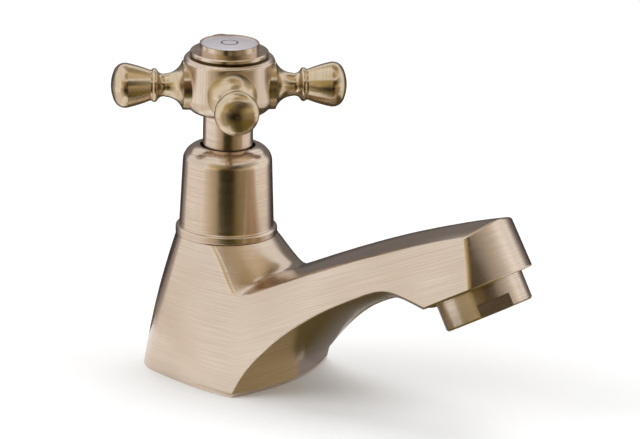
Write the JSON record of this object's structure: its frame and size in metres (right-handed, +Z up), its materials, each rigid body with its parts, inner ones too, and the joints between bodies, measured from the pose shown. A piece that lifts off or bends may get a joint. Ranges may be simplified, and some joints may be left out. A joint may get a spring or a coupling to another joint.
{
  "type": "cross handle tap",
  "caption": "Deck-mounted basin tap with a cross handle over a tapered body and a rising spout with an arched underside, in brushed antique brass.",
  "frame": {"origin": "on the handle's axis, at the deck that the tap stands on", "axes": "+X along the spout, towards the outlet; +Z up, along the handle's axis"},
  "size_m": [0.1236, 0.0542, 0.1396],
  "materials": {
    "antique_brass": "brushed antique brass",
    "plain_brass": "machined, uncoated",
    "stainless": "pressed and brushed",
    "black_rubber": "matt",
    "ceramic": "lapped alumina, pale",
    "porcelain": "glazed white porcelain",
    "polymer": "moulded acetal"
  },
  "bodies": {
    "tap": {"tap_body": "antique_brass", "threaded_tail": "plain_brass", "base_gasket": "black_rubber", "seat_seal": "black_rubber", "fixed_ceramic_disc": "ceramic", "valve_bonnet": "plain_brass", "bonnet_washer": "black_rubber", "shroud": "antique_brass", "shroud_seal": "black_rubber", "aerator_shell": "antique_brass", "aerator_washer": "black_rubber", "aerator_insert": "polymer", "aerator_mesh": "polymer"},
    "handle": {"moving_ceramic_disc": "ceramic", "spindle": "plain_brass", "friction_washer": "polymer", "spindle_o_rings": "black_rubber", "spindle_circlip": "stainless", "stem_sleeve": "antique_brass", "spline_bush": "polymer", "handle_hub": "antique_brass", "handle_arm_1": "antique_brass", "handle_arm_2": "antique_brass", "handle_arm_3": "antique_brass", "handle_arm_4": "antique_brass", "handle_screw": "stainless", "index_ring": "antique_brass", "index_o_ring": "black_rubber", "index_disc": "porcelain"},
    "clamp": {"rubber_washer": "black_rubber", "clamp_washer": "stainless"},
    "nut": {"backnut": "plain_brass"}
  },
  "joints": [
    {"name": "handle_turn", "type": "hinge", "parent": "tap", "child": "handle", "pos_m": [0, 0, 0.07], "axis": [0, 0, -1], "range_deg": [0, 90]},
    {"name": "clamp_slide", "type": "slide", "parent": "tap", "child": "clamp", "axis": [0, 0, 1], "range_m": [0, 0.00907]},
    {"name": "nut_turn", "type": "hinge", "parent": "clamp", "child": "nut", "pos_m": [0, 0, -0.032], "axis": [0, 0, 1], "range_deg": [0, 1800]}
  ],
  "couplings": [
    {"joint": "clamp_slide", "follows": "nut_turn", "m_per_rad": 0.0002887}
  ]
}
